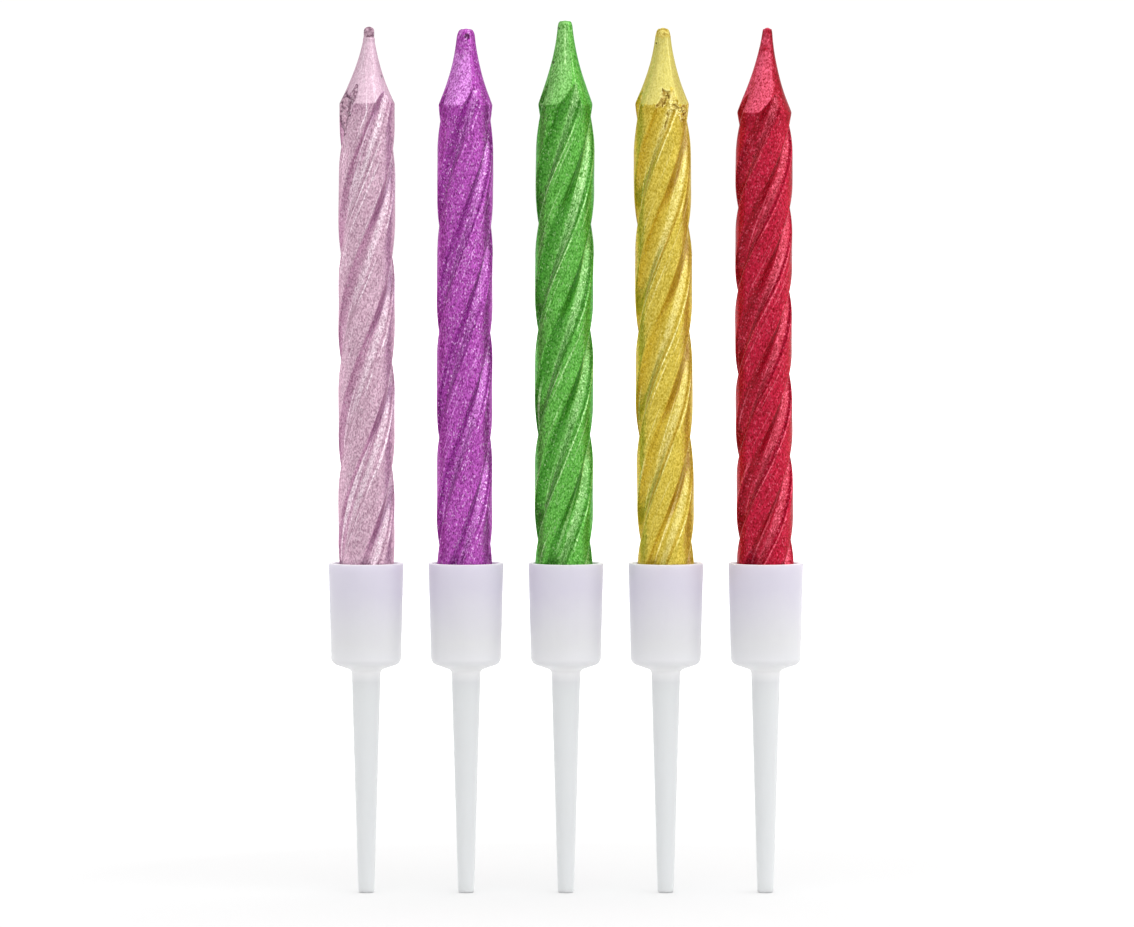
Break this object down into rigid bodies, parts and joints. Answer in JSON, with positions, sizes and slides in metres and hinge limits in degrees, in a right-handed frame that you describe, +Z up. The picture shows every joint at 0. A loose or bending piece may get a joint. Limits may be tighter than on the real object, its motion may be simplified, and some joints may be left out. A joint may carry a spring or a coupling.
{
  "type": "spiral birthday candle",
  "caption": "Row of twisted, fluted metallic birthday candles with blunt cone tips; each lifts out of a white cup holder with a tapered pick that stands in a cake.",
  "frame": {"origin": "on the axis of the middle (green) pick, at its root under the cup: the level of the icing", "axes": "+Z up along the candles, +X along the row from pink to red, +Y away from the viewer"},
  "size_m": [0.0476, 0.0076, 0.0874],
  "materials": {
    "pink_lacquer": "metallic pink lacquer with fine flake over paraffin wax",
    "purple_lacquer": "metallic purple lacquer with fine flake over paraffin wax",
    "green_lacquer": "metallic green lacquer with fine flake over paraffin wax",
    "gold_lacquer": "metallic gold lacquer with fine flake over paraffin wax",
    "red_lacquer": "metallic red lacquer with fine flake over paraffin wax",
    "wick_cotton": "twisted cotton, its end dipped in the lacquer",
    "holder_plastic": "satin translucent white moulding"
  },
  "bodies": {
    "holders": {"pink_holder": "holder_plastic", "purple_holder": "holder_plastic", "green_holder": "holder_plastic", "gold_holder": "holder_plastic", "red_holder": "holder_plastic"},
    "pink_candle": {"pink_wax": "pink_lacquer", "pink_wick": "wick_cotton"},
    "purple_candle": {"purple_wax": "purple_lacquer", "purple_wick": "wick_cotton"},
    "green_candle": {"green_wax": "green_lacquer", "green_wick": "wick_cotton"},
    "gold_candle": {"gold_wax": "gold_lacquer", "gold_wick": "wick_cotton"},
    "red_candle": {"red_wax": "red_lacquer", "red_wick": "wick_cotton"}
  },
  "joints": [
    {"name": "pink_lift", "type": "slide", "parent": "holders", "child": "pink_candle", "axis": [0, 0, 1], "range_m": [0, 0.01]},
    {"name": "purple_lift", "type": "slide", "parent": "holders", "child": "purple_candle", "axis": [0, 0, 1], "range_m": [0, 0.01]},
    {"name": "green_lift", "type": "slide", "parent": "holders", "child": "green_candle", "axis": [0, 0, 1], "range_m": [0, 0.01]},
    {"name": "gold_lift", "type": "slide", "parent": "holders", "child": "gold_candle", "axis": [0, 0, 1], "range_m": [0, 0.01]},
    {"name": "red_lift", "type": "slide", "parent": "holders", "child": "red_candle", "axis": [0, 0, 1], "range_m": [0, 0.01]}
  ]
}
